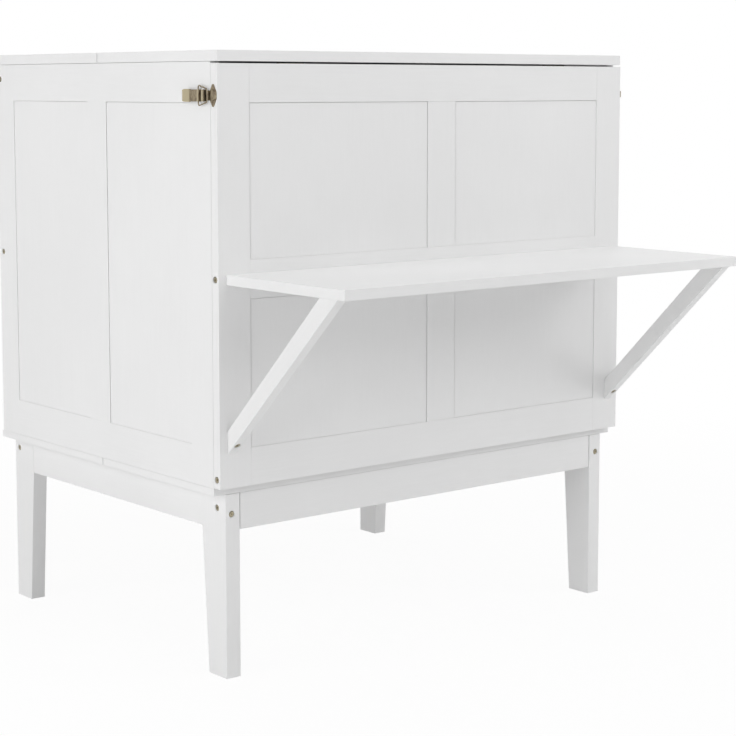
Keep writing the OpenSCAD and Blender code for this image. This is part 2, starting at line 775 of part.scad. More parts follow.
module lever_body() {
  // Rolled sheet with a narrow barrel at its pivot, a wide one round the bail, and a curled tail
  straight = lever_len - (tail_r + latch_t) * sin(tail_turn);
  level_bar(lever_neck_h) {
    circle(r = barrel_r);
    translate([-barrel_r, 0]) square([latch_t, bail_back]);
  }
  level_bar(lever_h) {
    translate([0, bail_back]) circle(r = barrel_r);
    translate([lever_skin, bail_back]) square([latch_t, straight - bail_back]);
  }
  translate([lever_skin + latch_t, straight, 0]) intersection() {
    level_bar(tail_h + 2 * past) arc_band(tail_r, latch_t, tail_turn);
    translate([-tail_r, 0, 0]) rotate([90, 0, 90]) linear_extrude(2 * tail_r)
      tongue(lever_len - straight, tail_h);
  }
}

module latch_lever(side) color(brass) at_latch(side)
  translate([latch_pivot_out, latch_pivot_back, 0]) difference() {
    lever_body();
    translate([0, 0, -lever_h]) cylinder(d = lever_pin_d + 2 * pin_clear, h = 2 * lever_h);
    translate([0, bail_back, -lever_h]) cylinder(d = bail_d + 2 * pin_clear, h = 2 * lever_h);
  }

module latch_bail(side) color(brass) at_latch(side) {
  // Closed loop of wire, wider at the lever, that leans in a little towards the keeper
  wide = (latch_h - bail_d) / 2;
  tight = bail_front_h / 2;
  corners = [[-wide, 0], [wide, 0], [tight, -bail_len], [-tight, -bail_len]];
  translate([latch_pivot_out, latch_pivot_back + bail_back, 0])
    rotate([0, 0, -asin(bail_lean / bail_len)]) rotate([0, 90, 0])
      wire_loop(rounded(corners, bail_bend), bail_d);
}

// Bolts

module cabinet_bolts() color(nickel) both_sides() at_bolts(cabinet_bolt_list) bolt();

module panel_bolts() color(nickel) both_sides() {
  at_bolts(panel_bolt_list) bolt();
  at_brace_bolt() bolt();
}

front_leg(-1);  // leg_front_left
front_leg(1);  // leg_front_right
rear_leg(-1);  // leg_rear_left
rear_leg(1);  // leg_rear_right
cross_apron([apron_front_back, apron_front_back + leg_t]);  // apron_front
cross_apron([leg_rear - leg_t, leg_rear]);  // apron_rear
side_apron(-1);  // apron_left
side_apron(1);  // apron_right
middle_beam();
base_board_front();
base_board_rear();
side_front_stile(-1);  // left_front_stile
side_middle_stile(-1);  // left_middle_stile
side_rear_stile(-1);  // left_rear_stile
side_top_rail(-1);  // left_top_rail
side_bottom_rail(-1);  // left_bottom_rail
side_panels(-1);  // left_infills
side_front_stile(1);  // right_front_stile
side_middle_stile(1);  // right_middle_stile
side_rear_stile(1);  // right_rear_stile
side_top_rail(1);  // right_top_rail
side_bottom_rail(1);  // right_bottom_rail
side_panels(1);  // right_infills
back_rail(lid_z - back_rail_h);  // back_top_rail
back_rail(back_mid_low);  // back_middle_rail
back_rail(base_z);  // back_bottom_rail
back_sheets();
lid_rear();
lid_front();
lid_hinge_fixed_leaves();
lid_hinge_swing_leaves();
panel_stile(-1);  // panel_left_stile
panel_stile(1);  // panel_right_stile
panel_rail([panel_top - panel_rail_h, panel_top]);  // panel_top_rail
panel_rail([panel_mid_low, panel_mid_high]);  // panel_middle_rail
panel_rail([panel_z, panel_z + panel_rail_h]);  // panel_bottom_rail
panel_muntins();
panel_infills();
shelf_board();
brace(-1);  // brace_left
brace(1);  // brace_right
panel_hinge_fixed_leaves();
panel_hinge_swing_leaves();
foot_board();
foot_battens();
foot_leg_pins();
foot_leg(-1);  // foot_leg_left
foot_leg(1);  // foot_leg_right
foot_hinge_fixed_leaves();
foot_hinge_swing_leaves();
latch_base(-1);  // latch_base_left
latch_base(1);  // latch_base_right
latch_lever(-1);  // latch_lever_left
latch_lever(1);  // latch_lever_right
latch_bail(-1);  // latch_bail_left
latch_bail(1);  // latch_bail_right
latch_keeper(-1);  // latch_keeper_left
latch_keeper(1);  // latch_keeper_right
cabinet_bolts();
panel_bolts();
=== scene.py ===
"""Cabinet wall bed: the looks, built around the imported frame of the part."""

import logging
import math
from dataclasses import dataclass
from enum import Enum
from typing import Union

import bmesh
import bpy
from mathutils import Matrix, Vector


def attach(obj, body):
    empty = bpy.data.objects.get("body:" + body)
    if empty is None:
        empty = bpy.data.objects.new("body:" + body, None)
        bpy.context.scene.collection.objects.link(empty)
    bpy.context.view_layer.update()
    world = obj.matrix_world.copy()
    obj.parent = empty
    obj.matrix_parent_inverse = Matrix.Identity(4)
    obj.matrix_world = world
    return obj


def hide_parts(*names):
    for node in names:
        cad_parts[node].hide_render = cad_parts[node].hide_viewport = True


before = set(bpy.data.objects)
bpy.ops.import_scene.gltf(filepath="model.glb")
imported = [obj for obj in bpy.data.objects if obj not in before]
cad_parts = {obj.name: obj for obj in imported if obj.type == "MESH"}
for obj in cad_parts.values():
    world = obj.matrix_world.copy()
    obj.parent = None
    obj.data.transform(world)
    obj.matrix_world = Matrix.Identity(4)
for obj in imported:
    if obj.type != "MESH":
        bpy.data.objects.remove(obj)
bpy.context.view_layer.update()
LOG = logging.getLogger("wall_bed")
MM = 0.001
# The chest's front and half its width, as in the part's source
FRONT = -236 * MM
HALF_WIDTH = 522.5 * MM
# Where the outermost faces of the latches start, out from the middle of the bed. The
# latch brass is painted lighter beyond it, a painted highlight, and darker within it,
# painted shade
LATCH_FACE = HALF_WIDTH + 8.1 * MM
# What is left of a pattern's scale along the grain, which draws it out
ALONG_GRAIN = 0.05
BRACE_TURN = math.radians(-46.2)
SHARP_FROM = math.radians(40)
WELD = 1e-5
WHITE = (1.0, 1.0, 1.0, 1.0)

Number = Union[int, float]
Colour = tuple[float, float, float, float]


class Grain(Enum):
    """The way a board's grain runs: the stretch of its pattern, and its turn about X.

    NONE stands for the latches, whose brass has a finish of its own.
    """

    ACROSS = ((ALONG_GRAIN, 1.0, 1.0), 0.0)
    DEEP = ((1.0, ALONG_GRAIN, 1.0), 0.0)
    UPRIGHT = ((1.0, 1.0, ALONG_GRAIN), 0.0)
    SLOPING = ((1.0, 1.0, ALONG_GRAIN), BRACE_TURN)
    NONE = ((1.0, 1.0, 1.0), 0.0)


class Slot(Enum):
    """The record's material slots."""

    PAINT = "white_paint"
    PLYWOOD = "plywood"
    BRASS = "antique_brass"
    BOLT = "bolt_nickel"


def srgb(red: int, green: int, blue: int) -> Colour:
    """Turns a colour as seen on a screen into the linear one that shaders take.

    Args:
        red: Red, 0 to 255.
        green: Green, 0 to 255.
        blue: Blue, 0 to 255.

    Returns:
        The linear colour, with an alpha of 1.
    """
    linear = [((c / 255 + 0.055) / 1.055) ** 2.4 for c in (red, green, blue)]
    return (linear[0], linear[1], linear[2], 1.0)


class Value:
    """A shader socket that takes part in Python arithmetic."""

    def __init__(
        self, shader: "Shader", socket: Union[bpy.types.NodeSocket, None]
    ) -> None:
        """Keeps the socket and the shader that it belongs to."""
        self.shader = shader
        self.socket = socket

    def _math(self, operation: str, *operands: Union["Value", Number]) -> "Value":
        """Adds a Math node.

        Args:
            operation: The Math node's operation.
            operands: Values or numbers, in the node's own order.

        Returns:
            The node's result.
        """
        return self.shader.node(
            "ShaderNodeMath", {"operation": operation}, dict(enumerate(operands))
        )

    def __add__(self, other: Union["Value", Number]) -> "Value":
        """Adds."""
        return self._math("ADD", self, other)

    def __radd__(self, other: Number) -> "Value":
        """Adds, with the number first."""
        return self._math("ADD", other, self)

    def __sub__(self, other: Union["Value", Number]) -> "Value":
        """Subtracts."""
        return self._math("SUBTRACT", self, other)

    def __rsub__(self, other: Number) -> "Value":
        """Subtracts from a number."""
        return self._math("SUBTRACT", other, self)

    def __mul__(self, other: Union["Value", Number]) -> "Value":
        """Multiplies."""
        return self._math("MULTIPLY", self, other)

    def __rmul__(self, other: Number) -> "Value":
        """Multiplies, with the number first."""
        return self._math("MULTIPLY", other, self)

    def clamped(self) -> "Value":
        """Holds the value between 0 and 1."""
        return self.shader.node(
            "ShaderNodeMath", {"operation": "ADD", "use_clamp": True}, {0: self, 1: 0.0}
        )

    def ramp(self, low: float, high: float) -> "Value":
        """Rises smoothly from 0 to 1.

        Args:
            low: The value where the rise starts.
            high: The value where it ends.

        Returns:
            The eased value.
        """
        return self.shader.node(
            "ShaderNodeMapRange",
            {"interpolation_type": "SMOOTHSTEP"},
            {"Value": self, "From Min": low, "From Max": high},
        )


class Shader:
    """The node tree of one material, or of the sky."""

    def __init__(self, owner: Union[bpy.types.Material, bpy.types.World]) -> None:
        """Empties the owner's node tree."""
        owner.use_nodes = True
        self.owner = owner
        self.tree = owner.node_tree
        self.tree.nodes.clear()

    def node(
        self,
        kind: str,
        settings: Union[dict, None] = None,
        inputs: Union[dict, None] = None,
        output: Union[str, int] = 0,
    ) -> Value:
        """Adds one node.

        Args:
            kind: The node's type.
            settings: Its own properties.
            inputs: Values or links of its sockets, by name or number.
            output: The socket that is returned.

        Returns:
            The chosen output.
        """
        made = self.tree.nodes.new(kind)
        for name, setting in (settings or {}).items():
            setattr(made, name, setting)
        for name, value in (inputs or {}).items():
            if isinstance(value, Value):
                self.tree.links.new(value.socket, made.inputs[name])
            else:
                made.inputs[name].default_value = value
        return Value(self, made.outputs[output] if made.outputs else None)

    def place(self, stretch: tuple = (1.0, 1.0, 1.0), turn: float = 0.0) -> Value:
        """Reads the object's own coordinates in metres.

        Args:
            stretch: The stretch along each axis.
            turn: A turn about X before the stretch.

        Returns:
            The coordinates.
        """
        coordinates = self.node("ShaderNodeTexCoord", output="Object")
        if turn:
            coordinates = self.node(
                "ShaderNodeVectorRotate",
                {"rotation_type": "X_AXIS"},
                {"Vector": coordinates, "Angle": turn},
            )
        return self.node(
            "ShaderNodeMapping", {}, {"Vector": coordinates, "Scale": stretch}
        )

    def noise(
        self, at: Value, scale: float, detail: float = 2.0, warp: float = 0.0
    ) -> Value:
        """Adds a noise pattern.

        Args:
            at: The coordinates.
            scale: Cells in a metre.
            detail: The number of finer layers.
            warp: How far the pattern is distorted.

        Returns:
            A value about 0.5.
        """
        return self.node(
            "ShaderNodeTexNoise",
            {},
            {"Vector": at, "Scale": scale, "Detail": detail, "Distortion": warp},
        )

    def blend(
        self, factor: Value, low: Union[Value, Colour], high: Union[Value, Colour]
    ) -> Value:
        """Blends two colours.

        Args:
            factor: 0 for the first, 1 for the second.
            low: The first colour.
            high: The second colour.

        Returns:
            The blended colour.
        """
        return self.node(
            "ShaderNodeMix",
            {"data_type": "RGBA"},
            {"Factor": factor, 6: low, 7: high},
            output=2,
        )

    def bump(self, height: Value, strength: float, distance: float) -> Value:
        """Turns a height into a normal.

        Args:
            height: The height, about 0 to 1.
            strength: How strongly it shows.
            distance: The height of 1, in metres.

        Returns:
            The normal.
        """
        return self.node(
            "ShaderNodeBump",
            {},
            {"Height": height, "Strength": strength, "Distance": distance},
        )

    def principled(self, inputs: dict) -> bpy.types.Material:
        """Ends the tree in one Principled surface.

        Args:
            inputs: Its sockets' values and links.

        Returns:
            The finished material.
        """
        surface = self.node("ShaderNodeBsdfPrincipled", {}, inputs)
        self.node("ShaderNodeOutputMaterial", {}, {"Surface": surface})
        return self.owner


@dataclass(frozen=True)
class SatinPaint:
    """White satin paint, sprayed over wood whose grain still shows a little."""

    name: str
    grain: Grain
    light: Colour = srgb(238, 238, 238)
    dark: Colour = srgb(235, 235, 235)
    roughness: float = 0.42

    def material(self) -> bpy.types.Material:
        """Builds the paint's material."""
        shader = Shader(bpy.data.materials.new(self.name))
        along = shader.place(*self.grain.value)
        around = shader.place()
        streaks = shader.noise(along, scale=260.0, detail=4.0, warp=0.4)
        pores = shader.noise(along, scale=1400.0).ramp(low=0.58, high=0.78)
        peel = shader.noise(around, scale=900.0, detail=1.0)
        cloud = shader.noise(around, scale=3.0, detail=3.0)
        tint = (cloud * 0.7 + streaks * 0.3).ramp(low=0.35, high=0.65)
        height = peel * 0.5 + streaks * 0.5 - pores * 0.35
        return shader.principled({
            "Base Color": shader.blend(tint, self.dark, self.light),
            "Roughness": self.roughness + (cloud - 0.5) * 0.12 + pores * 0.06,
            "Normal": shader.bump(height, strength=0.09, distance=0.08 * MM),
        })


@dataclass(frozen=True)
class Plywood:
    """Bare birch plywood with a clear, dull lacquer."""

    name: str
    grain: Grain
    pale: Colour = srgb(222, 200, 162)
    warm: Colour = srgb(196, 164, 118)
    fleck: Colour = srgb(150, 112, 72)
    rings_in_sweep: float = 14.0

    def material(self) -> bpy.types.Material:
        """Builds the plywood's material."""
        shader = Shader(bpy.data.materials.new(self.name))
        along = shader.place(*self.grain.value)
        around = shader.place()
        sweep = shader.noise(along, scale=9.0, warp=1.2)
        bands = shader.node(
            "ShaderNodeMath", {"operation": "FRACT"}, {0: sweep * self.rings_in_sweep}
        )
        rise, fall = bands.ramp(low=0.0, high=0.55), bands.ramp(low=0.8, high=1.0)
        rings = rise * (1.0 - fall)
        fibres = shader.noise(along, scale=700.0, detail=3.0)
        flecks = shader.noise(along, scale=320.0).ramp(low=0.66, high=0.74)
        cloud = shader.noise(around, scale=4.0)
        tint = (rings * 0.45 + fibres * 0.4 + cloud * 0.15).clamped()
        wood = shader.blend(tint, self.pale, self.warm)
        return shader.principled({
            "Base Color": shader.blend(flecks * 0.5, wood, self.fleck),
            "Roughness": 0.5 + fibres * 0.15,
            "Normal": shader.bump(
                fibres - flecks * 0.6, strength=0.3, distance=0.2 * MM
            ),
        })


@dataclass(frozen=True)
class AgedMetal:
    """Plated metal with a worn face and a darker film over part of it.

    Where it stands farther out from the middle of the bed than its set line, its colour
    is lighter: a painted highlight, together with wear from hands.
    Nearer the middle it takes more of the dull colour: painted shade.
    """

    name: str
    bright: Colour
    dull: Colour
    roughness: float
    film: float
    lit_and_worn_from: float = 0.0
    lit_and_worn_edge: float = 0.5 * MM

    def material(self) -> bpy.types.Material:
        """Builds the metal's material."""
        shader = Shader(bpy.data.materials.new(self.name))
        around = shader.place()
        brushed = shader.noise(shader.place((1.0, 1.0, 0.08)), scale=2600.0)
        cloud = shader.noise(around, scale=120.0, detail=3.0, warp=0.6)
        spots = shader.noise(around, scale=700.0).ramp(low=0.60, high=0.72)
        film = cloud.ramp(low=0.38, high=0.70) * self.film + spots * 0.35
        # Painted highlight on the latch's outer faces and painted shade on its inner
        # parts, mixed with wear of the brass
        if self.lit_and_worn_from:
            out = shader.node("ShaderNodeSeparateXYZ", {}, {0: around})
            proud = shader.node("ShaderNodeMath", {"operation": "ABSOLUTE"}, {0: out})
            lit_and_worn = proud.ramp(self.lit_and_worn_from, self.lit_and_worn_from + self.lit_and_worn_edge)
            film = film + 0.4 - lit_and_worn * 0.8
        film = film.clamped()
        return shader.principled({
            "Base Color": shader.blend(film, self.bright, self.dull),
            "Metallic": 1.0,
            "Roughness": self.roughness + film * 0.22 + (brushed - 0.5) * 0.08,
            "Normal": shader.bump(
                brushed * 0.6 + spots * 0.4, strength=0.2, distance=0.06 * MM
            ),
        })


class Finishes:
    """The finishes of the bed, each built once."""

    def __init__(self) -> None:
        """Builds paint and plywood for each run of the grain, and the three metals."""
        self.paint = {
            grain: SatinPaint(f"white_paint_{grain.name.lower()}", grain).material()
            for grain in Grain
            if grain is not Grain.NONE
        }
        self.plywood = {
            grain: Plywood(f"birch_plywood_{grain.name.lower()}", grain).material()
            for grain in (Grain.ACROSS, Grain.UPRIGHT)
        }
        self.brass = AgedMetal(
            "antique_brass",
            bright=srgb(176, 160, 124),
            dull=srgb(92, 76, 54),
            roughness=0.30,
            film=0.55,
        ).material()
        self.latch = AgedMetal(
            "latch_brass",
            bright=srgb(184, 173, 146),
            dull=srgb(104, 88, 74),
            roughness=0.34,
            film=0.4,
            # Painted highlight beyond the latch face, painted shade within it
            lit_and_worn_from=LATCH_FACE,
        ).material()
        self.bolt = AgedMetal(
            "bronzed_steel",
            bright=srgb(176, 168, 146),
            dull=srgb(54, 48, 38),
            roughness=0.24,
            film=0.6,
        ).material()

    def of(self, slot: Slot, grain: Grain) -> bpy.types.Material:
        """Finds a finish.

        Args:
            slot: The record's slot.
            grain: The run of the grain. In brass, NONE asks for the latches' finish.

        Returns:
            The material.
        """
        if slot is Slot.PAINT:
            return self.paint[grain]
        if slot is Slot.PLYWOOD:
            return self.plywood[grain]
        if slot is Slot.BOLT:
            return self.bolt
        return self.latch if grain is Grain.NONE else self.brass


def finish_piece(
    name: str,
    shape: bmesh.types.BMesh,
    material: bpy.types.Material,
    body: str,
) -> bpy.types.Object:
    """Makes a shape an object that rides on a body, with rounded edges shaded softly.

    Args:
        name: The piece's name.
        shape: Its mesh in the frame's own coordinates, in metres, which is used up.
        material: Its finish.
        body: The body that carries it.

    Returns:
        The object.
    """
    mesh = bpy.data.meshes.new(name)
    shape.to_mesh(mesh)
    shape.free()
    mesh.shade_smooth()
    mesh.set_sharp_from_angle(angle=SHARP_FROM)
    mesh.materials.append(material)
    piece = bpy.data.objects.new(name, mesh)
    bpy.context.scene.collection.objects.link(piece)
    even = piece.modifiers.new("even_shading", "WEIGHTED_NORMAL")
    even.keep_sharp = True
    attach(piece, body)
    LOG.info("%s: %d faces, on %s", name, len(mesh.polygons), body)
    return piece


@dataclass
class EasedParts:
    """Parts of the frame whose sharp edges are eased so that they catch the light.

    A group with a "shrink" is drawn in by that much all round, which opens its joints a
    hair, and one with a "shoulder" stands off from its neighbour at its left end. Edges
    under "shortest" and those beside a hollow stay sharp. With no "shortest", all outer
    edges are eased.
    """

    body: str
    slot: Slot
    nodes: dict[str, Grain]
    ease: float = 0.6 * MM
    shrink: float = 0.0
    shoulder: float = 0.0
    shortest: float = 12 * MM
    steps: int = 2
    flat_below: float = math.radians(0.5)
    eased_from: float = math.radians(50)
    hollow_below: float = -0.1

    def hollow(self, edge: bmesh.types.BMEdge) -> bool:
        """Tells whether an edge borders a groove, a pocket or a bore."""
        return any(
            len(other.link_faces) == 2
            and other.calc_face_angle_signed() < self.hollow_below
            for face in edge.link_faces
            for other in face.edges
        )

    def eased(self, node: str) -> bmesh.types.BMesh:
        """Copies a node's mesh, joins its loose triangles and rounds its outer edges.

        Args:
            node: The CAD node.

        Returns:
            The eased shape.
        """
        shape = bmesh.new()
        shape.from_mesh(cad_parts[node].data)
        bmesh.ops.remove_doubles(shape, verts=shape.verts, dist=WELD)
        bmesh.ops.dissolve_limit(
            shape, angle_limit=self.flat_below, verts=shape.verts, edges=shape.edges
        )
        edges = [
            edge
            for edge in shape.edges
            if len(edge.link_faces) == 2
            and edge.is_convex
            and edge.calc_face_angle() > self.eased_from
            and edge.calc_length() > self.shortest
            and not (self.shortest and self.hollow(edge))
        ]
        drawn_in = {
            corner: corner.normal * corner.calc_shell_factor() * self.shrink
            for corner in shape.verts
        }
        for corner, step in drawn_in.items():
            corner.co -= step
        left_end = min(corner.co.x for corner in shape.verts) + MM
        for corner in shape.verts:
            corner.co.x += self.shoulder if corner.co.x < left_end else 0.0
        bmesh.ops.bevel(
            shape,
            geom=edges,
            offset=self.ease,
            segments=self.steps,
            profile=0.5,
            affect="EDGES",
            material=-1,
            clamp_overlap=True,
        )
        return shape

    def build(self, finishes: Finishes) -> None:
        """Puts an eased piece in each node's place.

        Args:
            finishes: The bed's finishes.
        """
        for node, grain in self.nodes.items():
            material = finishes.of(self.slot, grain)
            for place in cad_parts[node].material_slots:
                place.material = material
            piece = finish_piece(
                f"{node}_eased", self.eased(node), material, self.body
            )
            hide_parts(node)


@dataclass
class Infills(EasedParts):
    """Infills with a raised field, whose rebate shows as a fine line beside the frame.

    Each field has settled a little towards one side of its frame.
    """

    outward: tuple[int, int, int] = (0, -1, 0)
    tongue: float = 8 * MM
    rebate: float = 2.5 * MM
    wall: float = 0.02 * MM
    margins: tuple[float, float, float, float] = (
        1.7 * MM,
        0.1 * MM,
        0.1 * MM,
        0.8 * MM,
    )
    facing: float = 0.99

    def settle(self, foot: bmesh.types.BMFace) -> None:
        """Gives the rebate its own width at each side of the field.

        Args:
            foot: The foot of the field, still touching the frame's edge all round.
        """
        sideways = Vector((0, 0, 1)).cross(Vector(self.outward))
        across = Vector(abs(part) for part in sideways)
        near, far, below, above = self.margins
        middle = foot.calc_center_median()
        for corner in foot.verts:
            offset = corner.co - middle
            corner.co += across * (near if offset.dot(across) < 0 else -far)
            corner.co.z += below if offset.z < 0 else -above

    def eased(self, node: str) -> bmesh.types.BMesh:
        """Eases a node's mesh and cuts the rebate round each face that is seen.

        Args:
            node: The CAD node.

        Returns:
            The shape.
        """
        shape = super().eased(node)
        outward = Vector(self.outward)
        seen = [face for face in shape.faces if face.normal.dot(outward) > self.facing]
        for face in seen:
            self.step(shape, face, self.tongue - self.ease, 0.0)
            self.step(shape, face, self.wall, -self.rebate)
            self.step(shape, face, self.wall, 0.0)
            self.settle(face)
            self.step(shape, face, self.wall, self.rebate)
        return shape

    @staticmethod
    def step(
        shape: bmesh.types.BMesh, face: bmesh.types.BMFace, inset: float, rise: float
    ) -> None:
        """Draws a face in and moves it along its normal.

        Args:
            shape: The mesh.
            face: The face, which stays the inner one.
            inset: How far it is drawn in.
            rise: How far it moves outwards.
        """
        bmesh.ops.inset_individual(
            shape, faces=[face], thickness=inset, depth=rise, use_even_offset=True
        )


@dataclass
class Screws:
    """Slotted countersunk screws let into a plate, nearly flush with it."""

    name: str
    body: str
    places: list[tuple[Vector, Vector]]
    diameter: float = 5.6 * MM
    foot_share: float = 0.6
    rim_share: float = 0.12
    rise: float = 0.3 * MM
    depth: float = 0.5 * MM
    slot_width: float = 0.9 * MM
    slot_depth: float = 0.25 * MM
    upright: float = 0.3
    sides: int = 28
    first_turn: float = 0.4
    further_turn: float = 1.9

    def head(self, turn: float) -> bmesh.types.BMesh:
        """Shapes one head at the origin, with its face towards +Z.

        Args:
            turn: The angle of its slot.

        Returns:
            The head.
        """
        shape = bmesh.new()
        bmesh.ops.create_cone(
            shape,
            cap_ends=True,
            segments=self.sides,
            radius1=self.diameter / 2 * self.foot_share,
            radius2=self.diameter / 2,
            depth=self.depth,
        )
        bmesh.ops.translate(shape, verts=shape.verts, vec=(0, 0, -self.depth / 2))
        top = max(shape.faces, key=lambda face: face.calc_center_median().z)
        bmesh.ops.inset_individual(
            shape, faces=[top], thickness=self.diameter * self.rim_share, depth=0
        )
        top = max(
            shape.faces,
            key=lambda face: (face.calc_center_median().z, face.calc_area()),
        )
        bmesh.ops.translate(shape, verts=top.verts, vec=(0, 0, self.rise))
        half_slot = self.slot_width / 2
        for side in (-1, 1):
            geometry = shape.verts[:] + shape.edges[:] + shape.faces[:]
            bmesh.ops.bisect_plane(
                shape,
                geom=geometry,
                plane_co=(side * half_slot, 0, 0),
                plane_no=(1, 0, 0),
            )
        groove = [
            face
            for face in shape.faces
            if face.normal.z > self.upright
            and abs(face.calc_center_median().x) < half_slot
        ]
        cut = bmesh.ops.extrude_face_region(shape, geom=groove)
        bmesh.ops.delete(shape, geom=groove, context="FACES")
        lowered = [item for item in cut["geom"] if isinstance(item, bmesh.types.BMVert)]
        bmesh.ops.translate(
            shape, verts=lowered, vec=(0, 0, -self.rise - self.slot_depth)
        )
        turned = Matrix.Rotation(turn, 3, "Z")
        bmesh.ops.rotate(shape, verts=shape.verts, matrix=turned)
        return shape

    def build(self, finishes: Finishes) -> None:
        """Sets a head at each place, its slot turned a little further each time.

        Args:
            finishes: The bed's finishes.
        """
        heads = bmesh.new()
        for number, (place, facing) in enumerate(self.places):
            head = self.head(self.first_turn + self.further_turn * number)
            turned = facing.to_track_quat("Z", "Y").to_matrix().to_4x4()
            bmesh.ops.transform(
                head, verts=head.verts, matrix=Matrix.Translation(place) @ turned
            )
            loose = bpy.data.meshes.new("head")
            head.to_mesh(loose)
            head.free()
            heads.from_mesh(loose)
            bpy.data.meshes.remove(loose)
        bmesh.ops.recalc_face_normals(heads, faces=heads.faces)
        material = finishes.latch if self.name.startswith("latch") else finishes.brass
        finish_piece(self.name, heads, material, self.body)


@dataclass(frozen=True)
class Lamp:
    """A square soft lamp: its place and its sides in metres, and its power in watts."""

    name: str
    at: tuple[float, float, float]
    size: float
    power: float


@dataclass
class Studio:
    """White floor, soft light and the camera of the photograph.

    Only lamps above "mirrored_from" are mirrored: a low one would blank the lid at a
    glance.
    """

    camera_at: tuple[float, float, float] = (-2.4965, -3.0660, 1.0991)
    turn: float = math.radians(39.386)
    tilt: float = math.radians(6.186)
    lens: float = 93.582
    sensor: float = 36.0
    shift: float = -0.10
    far_clip: float = 60.0
    aim: tuple[float, float, float] = (0.0, 0.0, 0.7)
    floor_size: float = 14.0
    floor_colour: Colour = (0.97, 0.97, 0.97, 1.0)
    shadow_share: float = 0.06
    shadow_reach: tuple[float, float] = (0.8, 3.0)
    sky: float = 0.3
    lamps: tuple[Lamp, ...] = (
        Lamp("side_lamp", at=(-5.0, -0.3, 1.6), size=4.0, power=116.0),
        Lamp("corner_lamp", at=(3.4, -3.4, 2.4), size=1.6, power=51.0),
        Lamp("high_lamp", at=(0.6, -4.2, 4.4), size=5.0, power=67.0),
        Lamp("over_lamp", at=(-0.2, -0.4, 4.2), size=2.5, power=31.0),
        Lamp("rear_lamp", at=(1.6, 4.6, 2.6), size=3.5, power=42.0),
        Lamp("glint_lamp", at=(-3.4, -3.6, 3.2), size=0.6, power=7.0),
    )
    mirrored_from: float = 3.0

    @staticmethod
    def seen_directly(shader: Shader) -> Value:
        """Finds the rays that see the background straight, mirrored or through glass.

        Args:
            shader: The tree that asks.

        Returns:
            1 for such rays and 0 for those that only bring light.
        """
        rays = [
            shader.node("ShaderNodeLightPath", output=name)
            for name in ("Is Camera Ray", "Is Glossy Ray", "Is Transmission Ray")
        ]
        return (rays[0] + rays[1] + rays[2]).clamped()

    def floor(self) -> None:
        """Lays the floor, which keeps part of the bed's shadow."""
        shape = bmesh.new()
        bmesh.ops.create_grid(
            shape, x_segments=1, y_segments=1, size=self.floor_size / 2
        )
        mesh = bpy.data.meshes.new("studio_floor")
        shape.to_mesh(mesh)
        shape.free()
        shader = Shader(bpy.data.materials.new("white_floor"))
        matt = shader.node("ShaderNodeBsdfDiffuse", {}, {"Color": self.floor_colour})
        glow = shader.node(
            "ShaderNodeEmission", {}, {"Color": WHITE, "Strength": 1.0}
        )
        away = shader.node(
            "ShaderNodeVectorMath", {"operation": "LENGTH"}, {0: shader.place()}, 1
        )
        shadow = self.shadow_share * (1.0 - away.ramp(*self.shadow_reach))
        share = self.seen_directly(shader) * (1.0 - shadow)
        mixed = shader.node("ShaderNodeMixShader", {}, {"Fac": share, 1: matt, 2: glow})
        shader.node("ShaderNodeOutputMaterial", {}, {"Surface": mixed})
        mesh.materials.append(shader.owner)
        floor = bpy.data.objects.new("studio_floor", mesh)
        bpy.context.scene.collection.objects.link(floor)

    def world(self) -> None:
        """Sets an even sky that is white where it is seen."""
        world = bpy.data.worlds.new("studio_sky")
        bpy.context.scene.world = world
        shader = Shader(world)
        strength = self.seen_directly(shader) * (1.0 - self.sky) + self.sky
        sky = shader.node(
            "ShaderNodeBackground", {}, {"Color": WHITE, "Strength": strength}
        )
        shader.node("ShaderNodeOutputWorld", {}, {"Surface": sky})

    def hang(self, lamp: Lamp) -> None:
        """Hangs one lamp that faces the bed.

        Args:
            lamp: The lamp.
        """
        light = bpy.data.lights.new(lamp.name, "AREA")
        light.shape = "SQUARE"
        light.size = lamp.size
        light.energy = lamp.power
        hung = bpy.data.objects.new(lamp.name, light)
        hung.location = lamp.at
        hung.visible_glossy = lamp.at[2] > self.mirrored_from
        facing = Vector(self.aim) - hung.location
        hung.rotation_euler = facing.to_track_quat("-Z", "Y").to_euler()
        bpy.context.scene.collection.objects.link(hung)

    def camera(self) -> None:
        """Places the camera as the photograph was taken."""
        data = bpy.data.cameras.new("photo_camera")
        data.lens = self.lens
        data.sensor_width = self.sensor
        data.shift_y = self.shift
        data.clip_end = self.far_clip
        camera = bpy.data.objects.new("photo_camera", data)
        camera.location = self.camera_at
        camera.rotation_euler = (math.pi / 2 - self.tilt, 0.0, -self.turn)
        bpy.context.scene.collection.objects.link(camera)
        bpy.context.scene.camera = camera

    def build(self) -> None:
        """Sets up the floor, the sky, the lamps and the camera."""
        self.floor()
        self.world()
        for lamp in self.lamps:
            self.hang(lamp)
        self.camera()
        bpy.context.scene.view_settings.view_transform = "Standard"


